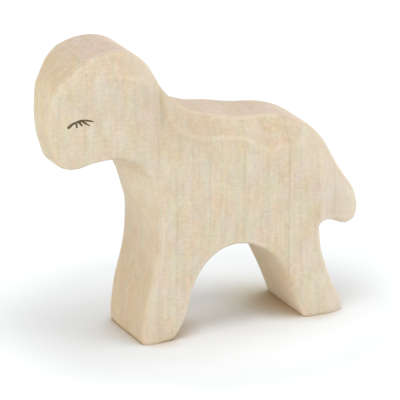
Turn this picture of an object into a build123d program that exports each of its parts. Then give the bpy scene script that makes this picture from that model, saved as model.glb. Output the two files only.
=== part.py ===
"""A small sheep figurine, sawn from one hardwood board and shaped with a knife.

The side outline is sawn through the board, so every edge surface runs straight across it. The knife then
takes facets off both flat sides: the muzzle narrows to the nose, a bevel follows the crown, nape, back and
rump, the throat and the tail are thinned, a shallow groove parts the neck from the shoulder, and the legs
lose their sharp edges. A sleeping eye, a lid with three lashes, is drawn in ink on each cheek.

Frame, in millimetres: +Z up from the soles, the head towards -X, the board's thickness along Y, and the
origin on the ground under the middle of the figure. The left side is at -Y, and both sides are alike.
"""

import os

from build123d import *

# The board
board_thickness = 22.0
side_y = board_thickness / 2

# Lengths along X: the head from the nose to the dip behind the nape, the trunk from there to the tail's tip
head_length = 32.55
trunk_length = 51.6
nose_x = -(head_length + trunk_length) / 2
dip_x = nose_x + head_length
tail_tip_x = dip_x + trunk_length

# Heights above the ground, and those of the head down from its crown
figure_height = 77.05
head_height = 29.8
dip_drop = 15.0
throat_drop = 28.65
dip_height = figure_height - dip_drop
throat_height = figure_height - throat_drop
arch_height = 22.75
hock_height = 24.85
tail_height = 6.6

# Feet and the arch between them
toe_setback = 22.3
front_foot_length = 9.15
arch_width = 36.2
hind_foot_length = 11.4
front_toe_x = nose_x + toe_setback
front_heel_x = front_toe_x + front_foot_length
hind_toe_x = front_heel_x + arch_width
hind_heel_x = hind_toe_x + hind_foot_length

# Throat and hock, the two inner corners of the outline
throat_overhang = 3.9
chest_hollow = 4.3
hock_inset = 7.4
throat_x = front_toe_x - throat_overhang
hock_x = hind_heel_x - hock_inset
tail_reach = tail_tip_x - hock_x

# Corners of the soles and edges of the flat sides, eased with sandpaper
corner_radius = 1.2
rim_ease = 0.5

# How far cutters run out of the wood
overrun = 2.0

# Outline points. Head: shares of its length behind the nose and of its height below the crown.
nape_shares = [(0.901, 0.388), (0.847, 0.290), (0.788, 0.173), (0.700, 0.076)]
crown_shares = [(0.603, 0.018), (0.465, 0), (0.324, 0.025), (0.197, 0.093), (0.098, 0.209)]
face_shares = [(0.042, 0.303), (0.014, 0.430), (0, 0.555), (0.009, 0.742), (0.032, 0.824)]
chin_shares = [(0.058, 0.911), (0.087, 0.965), (0.127, 0.992), (0.185, 1)]
jaw_shares = [(0.239, 0.985), (0.307, 0.946), (0.377, 0.923), (0.439, 0.911)]

# Tail: shares of its reach behind the hock and of its height, up from the hock
tail_shares = [
    (0.201, -0.03), (0.411, -0.19), (0.649, -0.39), (0.846, -0.40), (0.978, -0.143), (1, 0.358), (0.904, 1),
]

# Rump and back: shares of the trunk's length behind the dip and of the rise from the tail's root to the dip
rump_shares = [(0.923, 0.140), (0.866, 0.316), (0.811, 0.473), (0.740, 0.598), (0.657, 0.684)]
back_shares = [
    (0.566, 0.730), (0.487, 0.750), (0.381, 0.767), (0.286, 0.797), (0.196, 0.828), (0.111, 0.872),
    (0.053, 0.921),
]

# Chest: shares of its hollow behind the toe and of the throat's height
chest_shares = [
    (-0.314, 0.907), (-0.047, 0.841), (0.195, 0.779), (0.580, 0.700), (0.900, 0.622),
    (1, 0.558), (0.949, 0.467), (0.756, 0.372), (0.442, 0.260), (0.163, 0.136),
]

# Arch: shares of its width behind the front heel and of its height
arch_shares = [
    (0.052, 0.163), (0.101, 0.391), (0.145, 0.611), (0.202, 0.774), (0.264, 0.877), (0.351, 0.965),
    (0.449, 1), (0.540, 0.987), (0.635, 0.923), (0.721, 0.820), (0.797, 0.664), (0.860, 0.473),
    (0.919, 0.270), (0.965, 0.110),
]

# Haunch: shares of the hock's inset before the heel and of the hock's height
haunch_shares = [
    (0.070, 0.101), (0.300, 0.241), (0.520, 0.394), (0.715, 0.547), (0.875, 0.682), (0.952, 0.793),
    (0.993, 0.909),
]

# Muzzle: one flat facet on each side, in front of a line that leans forward from cheek to brow
cheek_length = 3.0
brow_setback = 7.9
muzzle_slope_share = 0.53

# Topline bevel, in strokes: share along the outline from the hock over the back to the throat, then shares
# of how far the bevel comes down the side and of how far it comes in over the edge
topline_drop = 5.0
topline_inset = 4.0
topline_stroke_shares = [
    (0.12, 0.60, 0.80), (0.14, 0.95, 1.08), (0.17, 1.10, 1.08), (0.20, 1.20, 1.05), (0.222, 1.40, 1.00),
    (0.242, 1.55, 1.02), (0.262, 1.50, 1.05), (0.276, 1.25, 1.02), (0.290, 1.12, 1.00), (0.312, 1.32, 1.02),
    (0.348, 1.54, 1.15), (0.364, 1.44, 1.15), (0.374, 1.30, 1.05), (0.382, 1.10, 0.95), (0.392, 0.92, 0.85),
    (0.412, 0.90, 0.75), (0.432, 0.91, 0.92), (0.448, 0.99, 1.12), (0.465, 1.05, 1.15), (0.485, 1.04, 1.00),
    (0.505, 0.98, 0.86), (0.53, 0.84, 0.78), (0.554, 0.66, 0.75), (0.574, 0.54, 0.75), (0.596, 0.80, 0.75),
    (0.62, 1.06, 0.75), (0.655, 1.18, 0.72), (0.679, 1.00, 0.62), (0.71, 0.92, 0.61), (0.738, 1.26, 0.80),
    (0.766, 1.30, 1.26), (0.79, 1.24, 1.15),
]

# Chest bevel, from the throat down to the toe
chest_drop = 5.0
chest_inset = 7.0
chest_stroke_shares = [
    (0, 0.24, 1.00), (0.03, 0.38, 1.06), (0.075, 0.56, 1.13), (0.12, 0.70, 1.17), (0.16, 0.75, 1.17),
    (0.20, 0.67, 1.12), (0.25, 0.54, 1.04), (0.31, 0.42, 0.95), (0.36, 0.34, 0.86), (0.41, 0.21, 0.74),
    (0.46, 0.13, 0.52), (0.52, 0.13, 0.32), (0.62, 0.16, 0.18), (0.78, 0.21, 0.12), (1, 0.30, 0.13),
]

# Hind leg bevels, along the arch and up from the heel
shin_drop = 0.55
shin_inset = 5.2
shin_stroke_shares = [
    (0.47, 0.08, 0.08), (0.55, 0.40, 0.42), (0.62, 0.70, 0.78), (0.69, 0.92, 0.98), (0.76, 1, 1.04),
    (0.83, 1, 0.96), (0.90, 0.95, 0.66), (0.96, 0.85, 0.36), (1, 0.70, 0.22),
]
heel_drop = 3.6
heel_inset = 1.5
heel_stroke_shares = [(0, 1, 1), (0.3, 0.88, 0.90), (0.55, 0.50, 0.60), (0.8, 0.10, 0.14)]

# Tail: a step thins it on both sides, and its rim is eased. The step's strokes are shares of the hock's
# height, of its width for how far behind the hock it starts and for its own run, and of its depth.
tail_step_width = 3.7
tail_step_depth = 2.5
tail_step_shares = [
    (0.80, 0.10, 1, 1), (1.09, 0.20, 1, 1), (1.26, 0.30, 1, 1), (1.53, 0.24, 1, 1),
    (1.78, 0.03, 0.95, 0.92), (1.90, -0.19, 0.80, 0.60), (2.04, -0.30, 0.55, 0.12),
]
tail_rim_drop = 1.8
tail_rim_inset = 1.6
tail_rim_overrun = 1.0
tail_rim_shares = [
    (0.02, 0.15, 0.15), (0.035, 0.8, 0.8), (0.05, 0.9, 0.9), (0.0625, 1, 1), (0.078, 1, 1), (0.0965, 1, 1),
    (0.115, 1, 1), (0.1315, 1, 1), (0.155, 1, 1), (0.18, 1, 1),
]

# Neck groove, in front of the dip and from below it: strokes as shares up its height, of its width for the
# front and the rear wall, and of its depth
groove_setback = 4.3
groove_foot_drop = 11.65
groove_height = 16.5
groove_width = 4.2
groove_depth = 2.1
groove_shares = [
    (0, 0.80, 0.75, 0.04), (0.30, 1.02, 0.93, 0.40), (0.52, 1, 0.68, 0.75), (0.74, 0.93, 0.34, 1),
    (1, 0.82, 0.12, 1.2),
]

# Eye: a closed lid and its lashes. Points on the muzzle facet from the lid's middle, as shares of the lid's
# length towards the tail and upwards, and each lash from the lid to its tip
eye_setback = 7.3
eye_drop = 16.35
lid_length = 6.3
pen_width = 0.5
ink_depth = 0.2
lid_shares = [
    (-0.52, -0.32), (-0.41, -0.20), (-0.28, -0.10), (-0.14, -0.04), (0, 0), (0.16, 0.02), (0.31, 0),
    (0.45, -0.03),
]
lash_shares = [((-0.14, -0.04), (-0.17, -0.30)), ((-0.10, -0.03), (0.03, -0.22)), ((0, 0), (0.27, -0.21))]


def placed(shares, origin, size):
    """Outline points from shares of a size, measured from an origin."""
    return [(origin[0] + along * size[0], origin[1] + up * size[1]) for along, up in shares]


def topline():
    """The outline from the hock round the tail, over the back and the head, to the throat."""
    root_height = hock_height + tail_height
    tail = placed(tail_shares, (hock_x, hock_height), (tail_reach, tail_height))
    trunk = placed(rump_shares + back_shares, (dip_x, root_height), (trunk_length, dip_height - root_height))
    head_outline_shares = nape_shares + crown_shares + face_shares + chin_shares + jaw_shares
    head = placed(head_outline_shares, (nose_x, figure_height), (head_length, -head_height))
    dip = (dip_x, dip_height)
    return Spline((hock_x, hock_height), *tail, *trunk, dip, *head, (throat_x, throat_height))


def chest_line():
    points = placed(chest_shares, (front_toe_x, 0), (chest_hollow, throat_height))
    return Spline((throat_x, throat_height), *points, (front_toe_x, 0))


def arch_line():
    points = placed(arch_shares, (front_heel_x, 0), (arch_width, arch_height))
    return Spline((front_heel_x, 0), *points, (hind_toe_x, 0))


def haunch_line():
    points = placed(haunch_shares, (hind_heel_x, 0), (-hock_inset, hock_height))
    return Spline((hind_heel_x, 0), *points, (hock_x, hock_height))


def sawn_blank():
    """The outline sawn through the board, its corners and both rims eased."""
    front_sole = Line((front_toe_x, 0), (front_heel_x, 0))
    hind_sole = Line((hind_toe_x, 0), (hind_heel_x, 0))
    outline = [topline(), chest_line(), front_sole, arch_line(), hind_sole, haunch_line()]
    sawn_face = make_face(outline)
    sawn_face = fillet(sawn_face.vertices(), corner_radius)
    blank = extrude(Plane.XZ.offset(-side_y) * sawn_face, board_thickness)
    rims = blank.faces().filter_by(Axis.Y).edges()
    return chamfer(rims, rim_ease)


def wedge(rows):
    """A cutter through a row of flat polygons."""
    return loft([Face(Wire.make_polygon([Vector(*point) for point in row])) for row in rows], ruled=True)


def strokes(line, stroke_shares, drop, inset, rim_y=side_y, run=overrun):
    """The cutter of a bevel along an outline, as a row of triangles square to it: its foot on the side, its
    lip over the edge, and its corner outside the wood."""
    rows = []
    for along_share, drop_share, inset_share in stroke_shares:
        place = line @ along_share
        heading = line % along_share
        inward = Vector(-heading.Y, heading.X)
        slope = Vector(drop_share * drop, inset_share * inset)
        reach = slope.normalized() * run
        foot = place + inward * (slope.X + reach.X)
        lip = place - inward * reach.X
        foot_y = rim_y + reach.Y
        lip_y = rim_y - slope.Y - reach.Y
        rows.append([(foot.X, foot_y, foot.Y), (lip.X, lip_y, lip.Y), (lip.X, foot_y, lip.Y)])
    return wedge(rows)


def muzzle_edge_x(height):
    """Where the muzzle facet starts on the side, at a height."""
    rise_share = (height - throat_height) / (figure_height - throat_height)
    cheek_x = throat_x - cheek_length
    brow_x = nose_x + brow_setback
    return cheek_x + (brow_x - cheek_x) * rise_share


def muzzle_cut():
    rows = []
    for height in (figure_height - head_height - overrun, figure_height + overrun):
        edge_x = muzzle_edge_x(height)
        back_x = edge_x + overrun
        front_x = edge_x - head_length / 2
        back_y = side_y + muzzle_slope_share * overrun
        front_y = side_y - muzzle_slope_share * head_length / 2
        rows.append([(back_x, back_y, height), (front_x, front_y, height), (front_x, back_y, height)])
    return wedge(rows)


def eye_plane():
    """The muzzle facet of the near side around the eye: X towards the tail, Y up and Z out of the wood."""
    eye_x = nose_x + eye_setback
    eye_height = figure_height - eye_drop
    eye_y = side_y + muzzle_slope_share * (eye_x - muzzle_edge_x(eye_height))
    lean = muzzle_edge_x(figure_height) - muzzle_edge_x(throat_height)
    edge = Vector(lean, 0, figure_height - throat_height)
    rearward = Vector(1, -muzzle_slope_share, 0)
    return Plane(origin=(eye_x, -eye_y, eye_height), x_dir=rearward, z_dir=rearward.cross(edge))


def eye():
    """The ink of the near side's eye, in strokes with round ends."""
    pen = Circle(pen_width / 2)
    lid_points = placed(lid_shares, (0, 0), (lid_length, lid_length))
    drawing = trace(Spline(*lid_points), pen_width) + Pos(*lid_points[0]) * pen + Pos(*lid_points[-1]) * pen
    for lash in lash_shares:
        root, tip = placed(lash, (0, 0), (lid_length, lid_length))
        drawing = drawing + trace(Line(root, tip), pen_width) + Pos(*tip) * pen
    return extrude(eye_plane() * drawing, -ink_depth)


def tail_step_cut():
    rows = []
    end_x = tail_tip_x + overrun
    for up_share, edge_share, width_share, depth_share in tail_step_shares:
        height = up_share * hock_height
        edge_x = hock_x + edge_share * tail_step_width
        width = width_share * tail_step_width
        depth = depth_share * tail_step_depth
        reach = Vector(-width, depth).normalized() * overrun
        start_x = edge_x + reach.X
        start_y = side_y + reach.Y
        bed_x = edge_x + width
        bed_y = side_y - depth
        step = [(start_x, start_y), (bed_x, bed_y), (end_x, bed_y), (end_x, start_y)]
        rows.append([(x, y, height) for x, y in step])
    return wedge(rows)


def groove_cut():
    rows = []
    bottom_x = dip_x - groove_setback
    for up_share, front_share, rear_share, depth_share in groove_shares:
        height = dip_height - groove_foot_drop + up_share * groove_height
        depth = depth_share * groove_depth
        front = Vector(-front_share * groove_width, depth)
        rear = Vector(rear_share * groove_width, depth)
        front = front + front.normalized() * overrun
        rear = rear + rear.normalized() * overrun
        bed_y = side_y - depth
        front_point = (bottom_x + front.X, bed_y + front.Y, height)
        rear_point = (bottom_x + rear.X, bed_y + rear.Y, height)
        rows.append([front_point, (bottom_x, bed_y, height), rear_point])
    return wedge(rows)


def carved_body():
    body = sawn_blank()
    tail_y = side_y - tail_step_depth
    cuts = [
        muzzle_cut(),
        strokes(topline(), topline_stroke_shares, topline_drop, topline_inset),
        strokes(chest_line(), chest_stroke_shares, chest_drop, chest_inset),
        strokes(arch_line(), shin_stroke_shares, shin_drop, shin_inset),
        strokes(haunch_line(), heel_stroke_shares, heel_drop, heel_inset),
        tail_step_cut(),
        strokes(topline(), tail_rim_shares, tail_rim_drop, tail_rim_inset, tail_y, tail_rim_overrun),
        groove_cut(),
    ]
    for cut in cuts:
        body = body - cut - mirror(cut, about=Plane.XZ)
    return body


left_eye = eye()
right_eye = mirror(left_eye, about=Plane.XZ)
body = carved_body() - left_eye - right_eye

os.makedirs("parts", exist_ok=True)
for name, node in (("body", body), ("left_eye", left_eye), ("right_eye", right_eye)):
    export_step(node, f"parts/{name}.step")
    print(name, "volume", round(node.volume, 2), "faces", len(node.faces()), "valid", node.is_valid)
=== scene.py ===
# %% [markdown]
# # A carved sheep in maple
#
# The object is a small sheep, sawn from one maple board and shaped with a knife. This lesson dresses its
# CAD solids for a render. The frame comes first: every later piece is placed by it, in metres, with +Z up
# from the soles and the head towards -X.

import math

import bmesh
import bpy
import numpy as np
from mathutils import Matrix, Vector, noise
from mathutils.bvhtree import BVHTree


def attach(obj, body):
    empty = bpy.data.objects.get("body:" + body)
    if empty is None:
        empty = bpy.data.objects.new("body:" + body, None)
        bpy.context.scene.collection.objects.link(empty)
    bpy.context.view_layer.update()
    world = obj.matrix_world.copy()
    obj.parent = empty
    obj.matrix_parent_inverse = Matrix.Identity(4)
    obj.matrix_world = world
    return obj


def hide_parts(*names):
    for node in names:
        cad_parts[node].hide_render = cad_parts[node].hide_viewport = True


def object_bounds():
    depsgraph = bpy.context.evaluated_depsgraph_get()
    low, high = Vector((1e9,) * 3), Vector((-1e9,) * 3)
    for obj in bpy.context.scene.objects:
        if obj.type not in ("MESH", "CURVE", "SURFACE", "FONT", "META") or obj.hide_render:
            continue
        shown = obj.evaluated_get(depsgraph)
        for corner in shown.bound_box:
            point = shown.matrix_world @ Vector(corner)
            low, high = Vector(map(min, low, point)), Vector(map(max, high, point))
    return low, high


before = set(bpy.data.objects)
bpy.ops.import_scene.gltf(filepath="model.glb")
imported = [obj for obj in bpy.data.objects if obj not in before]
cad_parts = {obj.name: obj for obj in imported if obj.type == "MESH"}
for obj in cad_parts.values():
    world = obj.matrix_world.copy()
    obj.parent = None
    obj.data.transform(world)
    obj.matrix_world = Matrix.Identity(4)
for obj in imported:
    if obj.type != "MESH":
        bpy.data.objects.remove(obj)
cad_low, cad_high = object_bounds()
mm = 0.001
print("CAD box in mm:", [round(v / mm, 1) for v in cad_high - cad_low])

# %% [markdown]
# ## The softened carving
#
# A real carving has no sharp edge left: the knife's facets are still there, but sandpaper has rounded every
# ridge between them. A bevel modifier would need clean edge loops, which the CAD mesh doesn't have. So the
# solid is remeshed into small even cells and then smoothed, which rounds a ridge and leaves a flat face as
# it is. The eyes are joined in first, because in the CAD they fill their own shallow grooves.

# %% Join the solids and remesh them


def applied(piece):
    """Turns a piece's modifiers into its mesh."""
    depsgraph = bpy.context.evaluated_depsgraph_get()
    mesh = bpy.data.meshes.new_from_object(piece.evaluated_get(depsgraph))
    piece.modifiers.clear()
    piece.data = mesh


def new_piece(name, mesh):
    piece = bpy.data.objects.new(name, mesh)
    bpy.context.scene.collection.objects.link(piece)
    return piece


joined = bmesh.new()
for node in ("body", "left_eye", "right_eye"):
    joined.from_mesh(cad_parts[node].data)
sheep_mesh = bpy.data.meshes.new("sheep")
joined.to_mesh(sheep_mesh)
joined.free()
sheep = new_piece("sheep", sheep_mesh)

cell = 0.35 * mm
remesh = sheep.modifiers.new("even_cells", "REMESH")
remesh.mode = "VOXEL"
remesh.voxel_size = cell
applied(sheep)
print("cells of", cell / mm, "mm:", len(sheep.data.polygons), "faces")

# %% [markdown]
# The sanding isn't even. The soles keep crisp edges, most ridges are only eased, and a few places that a
# hand rubs a lot are blended until their facets run into each other: the rump, the root of the tail, the
# front of the hind leg and the corner under the jaw. Each vertex gets its share of a pass in a vertex group,
# as weight paint would give it. The first pass goes over everything, and the second only over those places.
# Two corners of the front foot are worn round, as after a fall, and a last pass takes them down.

# %% Places that are sanded more
blended_places = [
    (Vector((32, 0, 45)) * mm, 9 * mm),
    (Vector((26, 0, 52)) * mm, 6 * mm),
    (Vector((32, 0, 36)) * mm, 6 * mm),
    (Vector((20, 0, 11)) * mm, 11 * mm),
    (Vector((-24, 0, 47)) * mm, 5 * mm),
]
worn_corners = [
    (Vector((-18.3, 11, 0)) * mm, 2.6 * mm),
    (Vector((-10.8, -11, 0)) * mm, 3.0 * mm),
]
middle_share = 1.6
blend_fall = 1.2
wear_fall = 1.0


def coordinates(mesh):
    """A mesh's points as rows of three numbers."""
    points = np.empty(len(mesh.vertices) * 3)
    mesh.vertices.foreach_get("co", points)
    return points.reshape(-1, 3)


def nearness(points, places, fall):
    """How much each point belongs to the nearest of some places with their reach. The share starts above 1
    in the middle and is cut to it, so each place has a full heart, and then falls to 0."""
    share = np.zeros(len(points))
    for place, reach in places:
        away = np.linalg.norm(points - np.array(place), axis=1) / reach
        share = np.maximum(share, np.clip(middle_share - away * fall, 0, 1))
    return share


before = coordinates(sheep.data)
blended = nearness(before * (1, 0, 1), blended_places, blend_fall)
corner_wear = nearness(before, worn_corners, wear_fall)
print("points in a blended place:", int((blended > 0).sum()))

# %% [markdown]
# The shares start low on the soles and grow over the first millimetre and a half. Above that every point
# gets an even share, and more of it in a blended place.

# %% How much each point is sanded
sole_height = 1.5 * mm
sole_share = 0.05
even_share = 0.45
lifted = np.clip(before[:, 2] / sole_height, 0, 1)
sand_share = sole_share + (np.maximum(even_share, blended) - sole_share) * lifted
print("sanding shares from", round(float(sand_share.min()), 2), "to", round(float(sand_share.max()), 2))

# %% [markdown]
# Each pass is a Smooth modifier. It draws every point towards the middle of its neighbours, stroke after
# stroke, and the share in the vertex group says how far the point follows.

# %% Sand the ridges
smoothing = 0.5
for name, shares, strokes_of_sanding in (
    ("sandpaper", sand_share, 40), ("second_pass", blended * lifted, 90), ("corners", corner_wear, 100)
):
    group = sheep.vertex_groups.new(name=name)
    for index, share in enumerate(shares):
        group.add([index], float(share), "REPLACE")
    smooth = sheep.modifiers.new(name, "SMOOTH")
    smooth.factor = smoothing
    smooth.iterations = strokes_of_sanding
    smooth.vertex_group = name
applied(sheep)
sheep.vertex_groups.clear()
points = coordinates(sheep.data)
print("largest move by sanding:", round(float(np.linalg.norm(points - before, axis=1).max() / mm), 2), "mm")

# %% [markdown]
# The figure stands close on the paper, with only a hairline of shadow around its soles. So the rounding just
# above them is pressed down: what is lower than a third of a millimetre becomes sole, and the wood above it
# is drawn down a little to meet it. The shading is kept crisp along that edge.

# %% Flat soles
pressed_height = 0.35 * mm
drawn_height = 1.2 * mm
drawn = (points[:, 2] - pressed_height) / (drawn_height - pressed_height) * drawn_height
points[:, 2] = np.where(points[:, 2] < drawn_height, np.maximum(drawn, 0), points[:, 2])
print("points on the soles:", int((points[:, 2] == 0).sum()))

# %% [markdown]
# A knife and a sanding block leave flats that are never quite flat. A slow wave of a few hundredths of a
# millimetre breaks the machine look in the highlights. It stops above the soles, which stay level.

# %% Waves left by the hand
wave_length = 9 * mm
wave_height = 0.06 * mm
foot_height = 1 * mm
crisp_angle = 50


def set_coordinates(mesh, points):
    mesh.vertices.foreach_set("co", points.ravel())
    mesh.update()


def normals(mesh):
    """The mesh's normals at its points, in rows like them."""
    rows = np.empty(len(mesh.vertices) * 3, dtype=np.float32)
    mesh.vertex_normals.foreach_get("vector", rows)
    return rows.reshape(-1, 3)


set_coordinates(sheep.data, points)
wave = np.array([noise.noise(Vector(point) / wave_length) for point in points])
wave[points[:, 2] < foot_height] = 0
points = points + normals(sheep.data) * (wave * wave_height)[:, None]
set_coordinates(sheep.data, points)
sheep.data.polygons.foreach_set("use_smooth", [True] * len(sheep.data.polygons))
sheep.data.set_sharp_from_angle(angle=math.radians(crisp_angle))
print("wave of", wave_height / mm, "mm over", wave_length / mm, "mm")

# %% [markdown]
# The material needs to know where a ridge or a hollow is, because a ridge gets a painted highlight and a
# hollow gets painted shade. A copy is sanded far too much, and the distance from it to the real surface is
# kept as an attribute. It is positive on a ridge, negative in a hollow and zero on a flat, whatever way the
# flat faces. Where the facets were blended together nothing is left to show, so the value fades out there.

# %% Ridges and hollows
heavy_sanding = 36
worn = new_piece("worn_copy", sheep.data.copy())
wear = worn.modifiers.new("wear", "SMOOTH")
wear.factor = smoothing
wear.iterations = heavy_sanding
applied(worn)
relief = ((points - coordinates(worn.data)) * normals(sheep.data)).sum(axis=1) / mm
relief *= (1 - blended) * (points[:, 2] > foot_height)
sheep.data.attributes.new("relief", "FLOAT", "POINT").data.foreach_set("value", relief)
bpy.data.objects.remove(worn)
print("relief from", round(float(relief.min()), 2), "to", round(float(relief.max()), 2), "mm")

# %% [markdown]
# ## Helpers for materials
#
# Colours are written as sRGB hex values, as a paint chart gives them, and one function turns them to the
# linear values that Blender mixes. One more adds a node with its settings and its links, so a material reads
# as a list of what feeds what.

# %% Colours and nodes


def linear(hex_colour):
    """A linear colour with full opacity from an sRGB hex value."""
    channels = [int(hex_colour[i:i + 2], 16) / 255 for i in (1, 3, 5)]
    return (*[c / 12.92 if c <= 0.04045 else ((c + 0.055) / 1.055) ** 2.4 for c in channels], 1)


def add(material, kind, settings=None, **links):
    """A new node. Settings are its own properties. Links are inputs by name, or by number as i0, i1, and each
    is a value or another node's socket."""
    node = material.node_tree.nodes.new(kind)
    for key, value in (settings or {}).items():
        setattr(node, key, value)
    for key, value in links.items():
        numbered = key[0] == "i" and key[1:].isdigit()
        socket = node.inputs[int(key[1:]) if numbered else key.replace("_", " ")]
        if isinstance(value, bpy.types.NodeSocket):
            material.node_tree.links.new(value, socket)
        else:
            socket.default_value = value
    return node


def new_material(name):
    """An empty material with its output and a Principled shader."""
    material = bpy.data.materials.new(name)
    material.use_nodes = True
    material.node_tree.nodes.clear()
    shader = add(material, "ShaderNodeBsdfPrincipled")
    add(material, "ShaderNodeOutputMaterial", Surface=shader.outputs["BSDF"])
    return material, shader


def feed(material, source, target):
    material.node_tree.links.new(source, target)


print("the middle grey of the paint chart is", round(linear("#808080")[0], 2), "in linear light")

# %% [markdown]
# ## Maple, planed and sanded
#
# The board is a pale, close-grained wood like maple, sanded and left bare. A picture of wood would smear or
# break at the edges of the carving. So the grain is worked out in millimetres from the object's own
# coordinates, and it runs through the wood as in a real board, from one face to the next. The object's own
# normal tells which way a face looks.

# %% Coordinates in millimetres
maple, maple_shader = new_material("sanded_maple")
own = add(maple, "ShaderNodeTexCoord").outputs
in_mm = add(maple, "ShaderNodeVectorMath", {"operation": "SCALE"}, i0=own["Object"], Scale=1 / mm).outputs[0]
place_parts = add(maple, "ShaderNodeSeparateXYZ", Vector=in_mm).outputs
x_place, z_place = place_parts["X"], place_parts["Z"]
facing_parts = add(maple, "ShaderNodeSeparateXYZ", Vector=own["Normal"]).outputs
x_facing, z_facing = facing_parts["X"], facing_parts["Z"]
print("the wood is measured in mm")

# %% [markdown]
# Each pattern is noise with features of a real size, drawn out along an axis by a stretch. The fibres run up
# and down, so the legs are strong. The widest are 0.6 mm across and 5 mm long, and finer ones lie among them.
# On the sides they are upright streaks, and on the end grain the same noise is cut across and shows as tiny
# pores. Ray flecks cross them as short level marks. Patches a few millimetres wide drift from warm to greyish
# and from a pink cast to a green one, as in any pale board. Noise seldom leaves the middle of its range, so
# that middle is spread over the values a pattern needs.

# %% Patterns in the wood
cells_in_a_feature = 0.5
noise_low = 0.3
noise_high = 0.7
multiply = {"operation": "MULTIPLY"}
raw_noise = {}
pattern = {}
# Name, size in mm, stretch along X, Y and Z, detail, roughness, and the least and the greatest value
for name, size, stretch, detail, roughness, least, greatest in (
    ("ring_drift", 14, (1, 1, 4), 2.0, 0.5, -0.8, 0.8),
    ("ring_strength", 4, (1, 1, 4), 2.0, 0.5, 0.35, 1.0),
    ("fibres", 0.6, (1, 1, 9), 5.0, 0.8, 0.925, 1.075),
    ("flecks", 0.3, (2, 1.5, 1), 2.0, 0.6, 0.94, 1.06),
    ("patches", 1.6, (1, 1, 1.5), 2.0, 0.5, 0.98, 1.02),
    ("tone", 1.2, (1, 1, 2), 2.0, 0.5, 0, 1),
    ("cast", 2.0, (1, 1, 1.6), 2.0, 0.5, 0, 1),
):
    shares = tuple(1 / s for s in stretch)
    place = add(maple, "ShaderNodeVectorMath", multiply, i0=in_mm, i1=shares).outputs[0]
    raw_noise[name] = add(
        maple, "ShaderNodeTexNoise",
        Vector=place, Scale=cells_in_a_feature / size, Detail=detail, Roughness=roughness,
    ).outputs["Fac"]
    pattern[name] = add(
        maple, "ShaderNodeMapRange",
        Value=raw_noise[name], From_Min=noise_low, From_Max=noise_high, To_Min=least, To_Max=greatest,
    ).outputs[0]
print("patterns:", ", ".join(pattern))

# %% [markdown]
# The colour also depends on where a point lies and which way it faces. Some of this is the wood, and some is
# painted light and shade. The measures for that come first: how far a face looks along the board and how far
# up or down, how far a point is from the middle of the chest and from the nape, and how far it stands out, by
# the relief attribute.

# %% Measures
chest_x = -18
nape_place = (-9, 0, 61)
size_only = {"operation": "ABSOLUTE"}
x_slant = add(maple, "ShaderNodeMath", size_only, i0=x_facing).outputs[0]
z_slant = add(maple, "ShaderNodeMath", size_only, i0=z_facing).outputs[0]
from_chest = add(maple, "ShaderNodeMath", {"operation": "SUBTRACT"}, i0=x_place, i1=chest_x).outputs[0]
from_chest = add(maple, "ShaderNodeMath", size_only, i0=from_chest).outputs[0]
side_place = add(maple, "ShaderNodeVectorMath", multiply, i0=in_mm, i1=(1, 0, 1)).outputs[0]
from_nape = add(maple, "ShaderNodeVectorMath", {"operation": "DISTANCE"}, i0=side_place, i1=nape_place)
from_nape = from_nape.outputs["Value"]
relief_value = add(maple, "ShaderNodeAttribute", {"attribute_name": "relief"}).outputs["Fac"]
print("chest at", chest_x, "mm, nape at", nape_place)

# %% [markdown]
# A Map Range node then turns a measure into a share: one value where the range starts, another where it
# ends, and a slope between them. The shares of one place are multiplied, like masks laid over each other.

# %% Shares of each place
share = {}
# Name, measure, start and end of its range, and the share at each
for name, measure, start, end, at_start, at_end in (
    ("below_head", z_place, 50, 58, 1.0, 0.8),
    ("long_cut", x_slant, 0.3, 0.8, 1, 0.3),
    # Faces that look forward: the mask for painted warm light, and for painted shade and light on the feet
    ("looks_forward", x_facing, -0.9, -0.3, 1, 0),
    ("looks_back", x_facing, 0.05, 0.5, 0, 1),
    ("tail_end", x_place, 30.5, 32.5, 0, 1),
    # Painted light: the head's end is made paler
    ("lit_head_end", x_place, -42, -27, 1.06, 1.0),
    ("low_down", z_place, 12, 42, 1, 0),
    ("front_leg", x_place, -8, 0, 1, 0),
    ("chest_middle", from_chest, 2, 6, 1, 0),
    ("under_throat", z_place, 42, 50, 1, 0),
    ("up_the_leg", z_place, 14, 36, 0.06, 0.15),
    ("over_the_sole", z_place, 1, 8, 0.7, 0),
    ("hind_leg", x_place, 0, 8, 0, 1),
    # The relief gives painted highlights on ridges and painted shade in hollows
    ("ridge", relief_value, 0.02, 0.08, 0, 1),
    ("sharpest_left_out", relief_value, 0.09, 0.15, 1, 0.15),
    ("hollow", relief_value, -0.01, -0.05, 0, 0.3),
    # Painted shade in the nape
    ("nape", from_nape, 5, 14, 0.7, 0),
    # More painted highlight on the ridges towards the rear
    ("more_to_the_rear", x_place, -10, 12, 0.26, 0.38),
):
    share[name] = add(
        maple, "ShaderNodeMapRange",
        Value=measure, From_Min=start, From_Max=end, To_Min=at_start, To_Max=at_end,
    ).outputs[0]

# Painted shade low on the front foot, a paler band of wood, and painted light on the hind toe
for name, first, second, third in (
    ("front_foot_shade", "low_down", "front_leg", "looks_forward"),
    ("chest_band", "chest_middle", "under_throat", "up_the_leg"),
    ("hind_toe_light", "looks_forward", "over_the_sole", "hind_leg"),
):
    product = add(maple, "ShaderNodeMath", multiply, i0=share[first], i1=share[second]).outputs[0]
    share[name] = add(maple, "ShaderNodeMath", multiply, i0=product, i1=share[third]).outputs[0]
print("shares:", len(share))

# %% [markdown]
# Growth rings cross the board like pages: on the flat sides each shows as a faint upright line some 3 to
# 7 mm from the next, and on the back and the crown as a line straight across. A ring darkens towards its
# end, a thin line of denser latewood, and the next one starts pale again. A colour ramp along the board's
# length is the mask for that: it climbs to white at each line and drops to black right behind it, and a
# power keeps only the end of each slope. The drift bends the lines a little.

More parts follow.
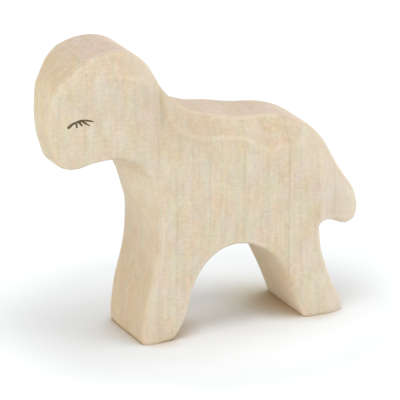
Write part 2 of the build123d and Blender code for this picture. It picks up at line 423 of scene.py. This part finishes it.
# %% Growth rings
ring_lines = (-39.5, -34.0, -28.2, -21.5, -15.4, -9.9, -5.7, -1.0, 2.3, 9.0, 15.4, 21.5, 24.6, 30.1, 36.0)
ring_low = -45
ring_high = 45
ring_gap = 0.3
ring_sharpness = 16.0
to_a_power = {"operation": "POWER"}
ring_place = add(maple, "ShaderNodeMath", i0=x_place, i1=pattern["ring_drift"]).outputs[0]
ring_share = add(
    maple, "ShaderNodeMapRange", Value=ring_place, From_Min=ring_low, From_Max=ring_high
).outputs[0]
ring_ramp = add(maple, "ShaderNodeValToRGB", Fac=ring_share)
stops = ring_ramp.color_ramp.elements
stops[0].color = linear("#000000")
stops[1].color = linear("#cccccc")
for line in ring_lines:
    for place, hex_colour in ((line, "#ffffff"), (line + ring_gap, "#000000")):
        stop = stops.new((place - ring_low) / (ring_high - ring_low))
        stop.color = linear(hex_colour)
ring_slopes = ring_ramp.outputs["Color"]
latewood = add(maple, "ShaderNodeMath", to_a_power, i0=ring_slopes, i1=ring_sharpness).outputs[0]
print("growth rings:", len(ring_lines), "with", len(stops), "stops")

# %% [markdown]
# The rings come and go. They are fainter on the head, and on faces that look along the board, where a ring
# is cut flat and spreads out.

# %% Where the rings show
ring_depth = 0.5
ring_tint = latewood
for part in (pattern["ring_strength"], share["below_head"], share["long_cut"], ring_depth):
    ring_tint = add(maple, "ShaderNodeMath", multiply, i0=ring_tint, i1=part).outputs[0]
print("rings mixed in by", ring_depth)

# %% [markdown]
# The colours come together in the order in which they lie in the wood: the warm and the greyish patches, the
# cast over them, then the rings, and last the light and dark of fibres and flecks, which scales all of it.

# %% Tone, rings and fibres
pale_wood = linear("#e7dbc8")
warm_wood = linear("#e6d2b3")
late_wood = linear("#b7a07a")
pink_cast = linear("#fffafc")
green_cast = linear("#fafff9")
colour_mix = {"data_type": "RGBA"}
colour_multiply = {"data_type": "RGBA", "blend_type": "MULTIPLY"}
toned = add(maple, "ShaderNodeMix", colour_mix, i0=pattern["tone"], i6=warm_wood, i7=pale_wood).outputs[2]
cast = add(maple, "ShaderNodeMix", colour_mix, i0=pattern["cast"], i6=pink_cast, i7=green_cast).outputs[2]
tinted = add(maple, "ShaderNodeMix", colour_multiply, i0=1.0, i6=toned, i7=cast).outputs[2]
ringed = add(maple, "ShaderNodeMix", colour_mix, i0=ring_tint, i6=tinted, i7=late_wood).outputs[2]
shade = add(maple, "ShaderNodeMath", multiply, i0=pattern["fibres"], i1=pattern["flecks"]).outputs[0]
shade = add(maple, "ShaderNodeMath", multiply, i0=shade, i1=pattern["patches"]).outputs[0]
grained = add(maple, "ShaderNodeVectorMath", {"operation": "SCALE"}, i0=ringed, Scale=shade).outputs[0]
print("tone, rings and fibres are mixed")

# %% [markdown]
# End grain takes the light in and looks darker and pinker than side grain, and a cut across the fibres at a
# slant looks yellower than either. How far a surface faces up or down tells how much end grain it shows, so
# that drives the change of colour.

# %% End grain
end_ramp = add(maple, "ShaderNodeValToRGB", Fac=z_slant)
end_stops = end_ramp.color_ramp.elements
end_stops[0].color = linear("#ffffff")
end_stops[1].color = linear("#ede7ed")
for place, hex_colour in ((0.12, "#ffffff"), (0.35, "#fbf9f5"), (0.55, "#f2eee8"), (0.80, "#eee8e2")):
    end_stops.new(place).color = linear(hex_colour)
end_tint = end_ramp.outputs["Color"]
cut = add(maple, "ShaderNodeMix", colour_multiply, i0=1.0, i6=grained, i7=end_tint).outputs[2]
print("end grain has", len(end_stops), "stops")

# %% [markdown]
# The board isn't the same from end to end either, and the colour also carries painted light and shade. Faces
# that look forward, at the face, the chest and the fronts of the legs, get a faint warm painted light. Low on
# the front foot this turns to painted shade, darker and warmer. Faces that look back get painted light, paler
# and pinker, and the tail end, whichever way it faces, takes the pinker wood of that end of the board. The
# normal's X tells them apart. The head's end is painted a little paler, as painted light on the face. A band
# of the wood up through the front leg and the chest is paler too, and the front of the hind foot close over
# its sole is painted paler, as painted light in its shade.

# %% Painted light and shade by the way a face looks, and a paler band
# Painted light on faces that look back, and the pinker wood of the tail end
pink_depth = 0.3
either = {"operation": "MAXIMUM"}
pink_lit_back = add(maple, "ShaderNodeMath", either, i0=share["looks_back"], i1=share["tail_end"]).outputs[0]
share["pink_lit_back"] = add(maple, "ShaderNodeMath", multiply, i0=pink_lit_back, i1=pink_depth).outputs[0]
turned = cut
# Painted warm light on faces that look forward, painted shade on the front foot, and painted light behind
# with the pinker tail wood
for name, hex_colour, settings in (
    ("looks_forward", "#fffcf5", colour_multiply),
    ("front_foot_shade", "#fdf5ec", colour_multiply),
    ("pink_lit_back", "#eee1d6", colour_mix),
):
    colour = linear(hex_colour)
    turned = add(maple, "ShaderNodeMix", settings, i0=share[name], i6=turned, i7=colour).outputs[2]
# Painted light: the head's end is made paler
turned = add(
    maple, "ShaderNodeVectorMath", {"operation": "SCALE"}, i0=turned, Scale=share["lit_head_end"]
).outputs[0]
# A paler band of wood, and painted light on the front of the hind toe
for name, hex_colour in (("chest_band", "#f4e9de"), ("hind_toe_light", "#f8ead6")):
    colour = linear(hex_colour)
    turned = add(maple, "ShaderNodeMix", colour_mix, i0=share[name], i6=turned, i7=colour).outputs[2]
print("warm in front, pink behind")

# %% [markdown]
# The ridges between the knife's facets are painted paler. This is a painted highlight over the little that
# sandpaper has rubbed them. They show as pale lines along the crown and the throat, and most of all on the
# back.
# The hollows are painted darker, as painted shade. Both come from the relief. The nape is one wide hollow,
# too wide for that value to see, so its place is given, and it gets the same painted shade.

# %% Painted highlights on ridges and painted shade in hollows
# Painted highlight colour for the ridges, and painted shade colour for the hollows
ridge_highlight_wood = linear("#f3e7d2")
hollow_shade_wood = linear("#f0eae0")
highlight_sharpness = 2.0
highlight_share = add(maple, "ShaderNodeMath", to_a_power, i0=share["ridge"], i1=highlight_sharpness).outputs[0]
for part in (share["sharpest_left_out"], share["more_to_the_rear"]):
    highlight_share = add(maple, "ShaderNodeMath", multiply, i0=highlight_share, i1=part).outputs[0]
highlighted = add(maple, "ShaderNodeMix", colour_mix, i0=highlight_share, i6=turned, i7=ridge_highlight_wood).outputs[2]
hollow_shade_share = add(maple, "ShaderNodeMath", either, i0=share["hollow"], i1=share["nape"]).outputs[0]
wood = add(maple, "ShaderNodeMix", colour_multiply, i0=hollow_shade_share, i6=highlighted, i7=hollow_shade_wood).outputs[2]
feed(maple, wood, maple_shader.inputs["Base Color"])
print("ridges are paler and hollows darker")

# %% [markdown]
# Bare sanded wood has a soft, broad sheen. The fibres leave the surface just uneven enough to break it.

# %% Surface
maple_shader.inputs["Roughness"].default_value = 0.6
maple_shader.inputs["IOR"].default_value = 1.45
fibre_height = 0.04 * mm
bump = add(maple, "ShaderNodeBump", Height=raw_noise["fibres"], Strength=0.25, Distance=fibre_height)
feed(maple, bump.outputs["Normal"], maple_shader.inputs["Normal"])

sheep.data.materials.clear()
sheep.data.materials.append(maple)
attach(sheep, "root")
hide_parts("body")
print("maple is on", sheep.name)

# %% [markdown]
# ## The eyes, in brown ink
#
# Each eye is drawn with a fine pen: a lid in one arc, thick where the pen was set down and thin where it
# was lifted, and three lashes under it. Real ink soaks into the wood and has no thickness. A stroke here is a
# thin ribbon laid on the carved surface, two hundredths of a millimetre proud so that it shows, with its
# sides dipping under the wood. First comes the cheek facet's own frame, taken from the CAD solid of the eye:
# its largest faces look straight out of the wood.

# %% The cheek facet
looks_out = -0.8
outward = Vector((0, 0, 0))
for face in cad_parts["left_eye"].data.polygons:
    if face.normal.y < looks_out:
        outward += face.normal * face.area
outward.normalize()
rearward = Vector((0, 0, 1)).cross(outward).normalized()
upward = outward.cross(rearward)
lid_middle = Vector((-34.80, -8.40, 60.71)) * mm
print("the cheek faces", [round(v, 3) for v in outward])

# %% [markdown]
# The pen's path is a list of places on the facet in millimetres, rearward and upward from the lid's
# middle, each with the half width of the line there. A smooth curve runs through them in short steps.

# %% Where the pen went
lid = [
    (-3.45, -2.20, 0.38), (-3.10, -1.80, 0.45), (-2.25, -0.95, 0.38), (-1.25, -0.42, 0.36),
    (-0.20, -0.02, 0.38), (1.00, 0.12, 0.35), (1.99, 0.03, 0.29), (2.95, -0.17, 0.17),
]
front_lash = [(-1.35, -0.55, 0.22), (-1.25, -1.25, 0.32), (-1.18, -1.98, 0.34)]
middle_lash = [(-0.75, -0.25, 0.36), (-0.30, -0.85, 0.34), (0.20, -1.48, 0.22)]
rear_lash = [(0.00, -0.10, 0.32), (1.00, -0.70, 0.30), (2.00, -1.32, 0.23)]
pen_step = 0.1


def pen_curve(stops):
    """Places a pen step apart along a smooth curve through the stops, in rows like theirs."""
    stops = np.array([stops[0], *stops, stops[-1]])
    rows = []
    for before, start, end, after in zip(stops, stops[1:], stops[2:], stops[3:]):
        steps = max(2, round(float(np.linalg.norm(end[:2] - start[:2])) / pen_step))
        for t in np.arange(steps) / steps:
            cubic = 3 * start - before - 3 * end + after
            square = 2 * before - 5 * start + 4 * end - after
            rows.append(start + 0.5 * t * (end - before + t * (square + t * cubic)))
    return np.array([*rows, stops[-1]])


print("steps in the lid:", len(pen_curve(lid)))

# %% [markdown]
# Every point of a ribbon is sent down to the sanded wood along the facet's normal, so the ink follows the
# softened ridges. The line's ends are round, and its edge wanders a little, as ink does along the fibres.

# %% Find the wood under the pen
skin = BVHTree.FromObject(sheep, bpy.context.evaluated_depsgraph_get())
start_height = 3 * mm


def laid(place):
    """The point of the wood under a place on the left cheek's facet."""
    above = lid_middle + rearward * place[0] * mm + upward * place[1] * mm + outward * start_height
    return skin.ray_cast(above, -outward)[0]


print("the wood under the lid's middle:", [round(v / mm, 2) for v in laid((0, 0))])

# %% [markdown]
# Across its width a ribbon has five points: the outer two dip under the wood, and the middle one stands
# highest. Each is given by how far out it lies, as a share of the half width, and its height in millimetres.

# %% Lay a stroke on the wood
profile = ((-1, -0.05), (-0.75, 0.014), (0, 0.02), (0.75, 0.014), (1, -0.05))
wander = 0.16
wander_along = 3
wander_across = 5
blunt_end = 0.02


def stroke(bm, stops):
    """One ribbon of ink along the stops."""
    path = pen_curve(stops)
    headings = np.gradient(path[:, :2], axis=0)
    headings /= np.linalg.norm(headings, axis=1)[:, None]
    run = np.concatenate([[0], np.cumsum(np.linalg.norm(np.diff(path[:, :2], axis=0), axis=1))])
    rows = []
    for (along, up, half), (heading_x, heading_y), walked in zip(path, headings, run):
        near_end = min(walked, run[-1] - walked) / half
        round_share = math.sqrt(max(blunt_end, 1 - (1 - min(1, near_end)) ** 2))
        row = []
        for side, height in profile:
            spot = Vector((along * wander_along, up * wander_along, side * wander_across))
            reach = side * half * round_share * (1 + wander * noise.noise(spot))
            place = (along - heading_y * reach, up + heading_x * reach)
            row.append(bm.verts.new(laid(place) + outward * height * mm))
        rows.append(row)
    for row, next_row in zip(rows, rows[1:]):
        for i in range(len(profile) - 1):
            bm.faces.new((row[i], next_row[i], next_row[i + 1], row[i + 1]))


eye_bm = bmesh.new()
for stops in (lid, front_lash, middle_lash, rear_lash):
    stroke(eye_bm, stops)
bmesh.ops.recalc_face_normals(eye_bm, faces=eye_bm.faces)
left_ink_mesh = bpy.data.meshes.new("left_eye_ink")
eye_bm.to_mesh(left_ink_mesh)
print("faces in one eye:", len(left_ink_mesh.polygons))

# %% [markdown]
# The other cheek is the same drawing in a mirror, because the carver turned the board over and drew the eye
# again. Mirroring turns the faces inside out, so they are flipped back.

# %% The other cheek
for vertex in eye_bm.verts:
    vertex.co.y = -vertex.co.y
bmesh.ops.reverse_faces(eye_bm, faces=eye_bm.faces)
right_ink_mesh = bpy.data.meshes.new("right_eye_ink")
eye_bm.to_mesh(right_ink_mesh)
eye_bm.free()
print("right eye at y =", round(right_ink_mesh.vertices[0].co.y / mm, 1), "mm")

# %% [markdown]
# The ink is a thin brown drawing ink on bare wood. It dries matte and uneven: darker where it pooled, and
# paler where the fibres drew it away. So two browns are mixed by a fine noise.

# %% Brown ink
pool_size = 0.5 * mm
pooled_ink = linear("#4c3c1e")
thin_ink = linear("#73603a")
ink, ink_shader = new_material("brown_ink_on_wood")
ink_place = add(ink, "ShaderNodeTexCoord").outputs["Object"]
ink_pools = add(ink, "ShaderNodeTexNoise", Vector=ink_place, Scale=1 / pool_size, Detail=2.0).outputs["Fac"]
ink_share = add(ink, "ShaderNodeMapRange", Value=ink_pools, From_Min=0.35, From_Max=0.65).outputs[0]
ink_colour = add(ink, "ShaderNodeMix", colour_mix, i0=ink_share, i6=pooled_ink, i7=thin_ink).outputs[2]
feed(ink, ink_colour, ink_shader.inputs["Base Color"])
ink_shader.inputs["Roughness"].default_value = 0.6
print("brown ink in pools of", pool_size / mm, "mm")

# %% [markdown]
# Each eye is a piece of its own, so that another ink can be chosen without touching the wood. It belongs to
# the same body as the sheep and is shown in place of the eye that the CAD has inlaid.

# %% Put the ink on both eyes
for side, mesh in (("left", left_ink_mesh), ("right", right_ink_mesh)):
    mesh.polygons.foreach_set("use_smooth", [True] * len(mesh.polygons))
    mesh.materials.append(ink)
    piece = new_piece(f"{side}_eye_ink", mesh)
    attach(piece, "root")
    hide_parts(f"{side}_eye")
print("ink is on both eyes")

# %% [markdown]
# ## A white sweep
#
# The photograph is a cut-out on white that keeps its own soft shadow. A plain matte floor catches the
# shadow. It lies a hair under the soles, so that the two surfaces don't fight for the same place.

# %% The floor
floor_width = 4.0
floor_sink = 0.02 * mm
floor_mesh = bpy.data.meshes.new("floor")
half_floor = floor_width / 2
corners = [(x * half_floor, y * half_floor, -floor_sink) for x, y in ((-1, -1), (1, -1), (1, 1), (-1, 1))]
floor_mesh.from_pydata(corners, [], [(0, 1, 2, 3)])
floor = new_piece("floor", floor_mesh)
print("floor of", floor_width, "m")

# %% [markdown]
# Close to the wood the paper is painted darker and warmer: a painted shadow, with the colour that the wood
# throws on it. Ambient Occlusion tells how open a spot of the paper is, and the less open it is, the deeper
# the painted shadow. Beside the hind leg a second tint paints the shadow darker and warmer still, and fades
# out around that foot.

# %% White paper with painted shadow
# The floor's painted shadow near the wood, and again beside the hind foot
shadow_reach = 14 * mm
painted_shadow_paper = linear("#c6ad86")
open_paper = linear("#f4f7f9")
hind_foot = (22 * mm, 8 * mm, 0)
hind_shadow_reach = 17 * mm
hind_shadow_tint = linear("#f9f4e6")
smooth_slope = {"interpolation_type": "SMOOTHSTEP"}
paper, paper_shader = new_material("white_paper")
paper_place = add(paper, "ShaderNodeTexCoord").outputs["Object"]
openness = add(paper, "ShaderNodeAmbientOcclusion", Distance=shadow_reach).outputs["AO"]
openness = add(paper, "ShaderNodeMapRange", Value=openness, From_Min=0.25, From_Max=0.8).outputs[0]
paper_colour = add(paper, "ShaderNodeMix", colour_mix, i0=openness, i6=painted_shadow_paper, i7=open_paper).outputs[2]
from_foot = add(paper, "ShaderNodeVectorMath", {"operation": "DISTANCE"}, i0=paper_place, i1=hind_foot)
# Painted shadow around the hind foot
hind_shadow_share = add(
    paper, "ShaderNodeMapRange", smooth_slope,
    Value=from_foot.outputs["Value"], From_Max=hind_shadow_reach, To_Min=1.0, To_Max=0.0,
).outputs[0]
paper_colour = add(
    paper, "ShaderNodeMix", colour_multiply, i0=hind_shadow_share, i6=paper_colour, i7=hind_shadow_tint
).outputs[2]
feed(paper, paper_colour, paper_shader.inputs["Base Color"])
paper_shader.inputs["Roughness"].default_value = 1.0
paper_shader.inputs["Specular IOR Level"].default_value = 0.0
floor_mesh.materials.append(paper)
print("paper is warm within", shadow_reach / mm, "mm of the wood")

# %% [markdown]
# Only the camera sees a glow added to the floor. It is nothing around the sheep and grows with the distance,
# so the shadow keeps its depth while the floor away from it is pure white, and the light on the wood stays
# as it is. A weak glow of its own lies in the middle of the arch, where the photograph's shadow is thinnest
# because light comes through from behind.

# %% Glow for the camera
glow_middle = (5 * mm, 0, 0)
arch_middle = (4 * mm, 5 * mm, 0)
arch_reach = (19 * mm, 9.5 * mm, 1)
arch_glow = 0.13
in_arch = add(paper, "ShaderNodeVectorMath", {"operation": "SUBTRACT"}, i0=paper_place, i1=arch_middle)
in_arch = add(paper, "ShaderNodeVectorMath", {"operation": "DIVIDE"}, i0=in_arch.outputs[0], i1=arch_reach)
from_arch = add(paper, "ShaderNodeVectorMath", {"operation": "LENGTH"}, i0=in_arch.outputs[0])
glow = add(
    paper, "ShaderNodeMapRange", smooth_slope,
    Value=from_arch.outputs["Value"], To_Min=arch_glow, To_Max=0.0,
).outputs[0]
away = add(paper, "ShaderNodeVectorMath", {"operation": "DISTANCE"}, i0=paper_place, i1=glow_middle)
# Where a part of the glow starts and ends, what it adds there, and its slope
for start, end, added, slope in (
    (42 * mm, 60 * mm, 0.085, smooth_slope),
    (60 * mm, 400 * mm, 0.08, {}),
    (400 * mm, 1500 * mm, 0.6, {}),
):
    part = add(
        paper, "ShaderNodeMapRange", slope,
        Value=away.outputs["Value"], From_Min=start, From_Max=end, To_Max=added,
    ).outputs[0]
    glow = add(paper, "ShaderNodeMath", i0=glow, i1=part).outputs[0]
seen = add(paper, "ShaderNodeLightPath").outputs["Is Camera Ray"]
glow = add(paper, "ShaderNodeMath", multiply, i0=seen, i1=glow).outputs[0]
feed(paper, glow, paper_shader.inputs["Emission Strength"])
paper_shader.inputs["Emission Color"].default_value = linear("#ffffff")
print("glow in the arch:", arch_glow)

# %% [markdown]
# ## Light from everywhere
#
# The picture was taken in soft light with hardly any bright or dark side, as in a light tent. The world
# gives a good part of it, and only the camera sees it at full white. A wide softbox overhead draws the pool
# of shadow under the belly. Two on the left, one low and one high, fill the face, the chest and the inner
# side of the hind leg. One on the right lights the flat side and throws the pale shadow to the left of the
# front leg. Two behind lift that shadow and light the other side of the sheep.

# %% World
sky = bpy.data.worlds.new("light_tent")
bpy.context.scene.world = sky
sky.use_nodes = True
sky.node_tree.nodes.clear()
tent_strength = 0.3
seen_sky = add(sky, "ShaderNodeLightPath").outputs["Is Camera Ray"]
strength = add(sky, "ShaderNodeMapRange", Value=seen_sky, To_Min=tent_strength, To_Max=1.0).outputs[0]
tent = add(sky, "ShaderNodeBackground", Color=linear("#ffffff"), Strength=strength)
add(sky, "ShaderNodeOutputWorld", Surface=tent.outputs["Background"])
print("tent strength", tent_strength)

# %% Softboxes
box_distance = 1.1
wide = (0.8, 0.8)
low = (0.8, 0.6)
middle = (cad_low + cad_high) / 2


def softbox(name, turn, height, size, power):
    """An area lamp that looks at the sheep. Its turn is an angle from straight ahead of the flat side
    towards the tail, and its height an angle above the floor, both in degrees."""
    lamp = bpy.data.lights.new(name, "AREA")
    lamp.shape = "RECTANGLE"
    lamp.size, lamp.size_y = size
    lamp.energy = power
    box = new_piece(name, lamp)
    turn, height = math.radians(turn), math.radians(height)
    level = math.cos(height)
    towards = Vector((math.sin(turn) * level, -math.cos(turn) * level, math.sin(height)))
    box.location = middle + towards * box_distance
    box.rotation_euler = (-towards).to_track_quat("-Z", "Y").to_euler()
    return box


boxes = [
    softbox("overhead_softbox", 0, 89, wide, 4.5),
    softbox("left_low_softbox", -60, 14, low, 3.0),
    softbox("left_high_softbox", -60, 62, wide, 2.65),
    softbox("right_softbox", 60, 28, wide, 4.2),
    softbox("rear_right_softbox", 120, 14, low, 2.45),
    softbox("rear_softbox", 180, 20, wide, 1.4),
]
print("softboxes of", [round(box.data.energy, 1) for box in boxes], "W")

# %% [markdown]
# ## The camera
#
# The photograph shows the left side from a little in front and from above, and its lines hardly converge, so
# the camera stood a metre away with a long lens.

# %% The camera
lens = bpy.data.cameras.new("long_lens")
lens.lens = 360
lens.sensor_width = 36
camera = new_piece("camera", lens)
camera.location = Vector((-409.1, -848.8, 373.2)) * mm
sight = Vector((0.4092, 0.8466, -0.3404))
camera.rotation_euler = sight.to_track_quat("-Z", "Y").to_euler()
lens.clip_start = 0.05
lens.clip_end = 20
bpy.context.scene.camera = camera
bpy.context.scene.view_settings.view_transform = "Standard"
print("camera at", [round(v, 3) for v in camera.location], "m")
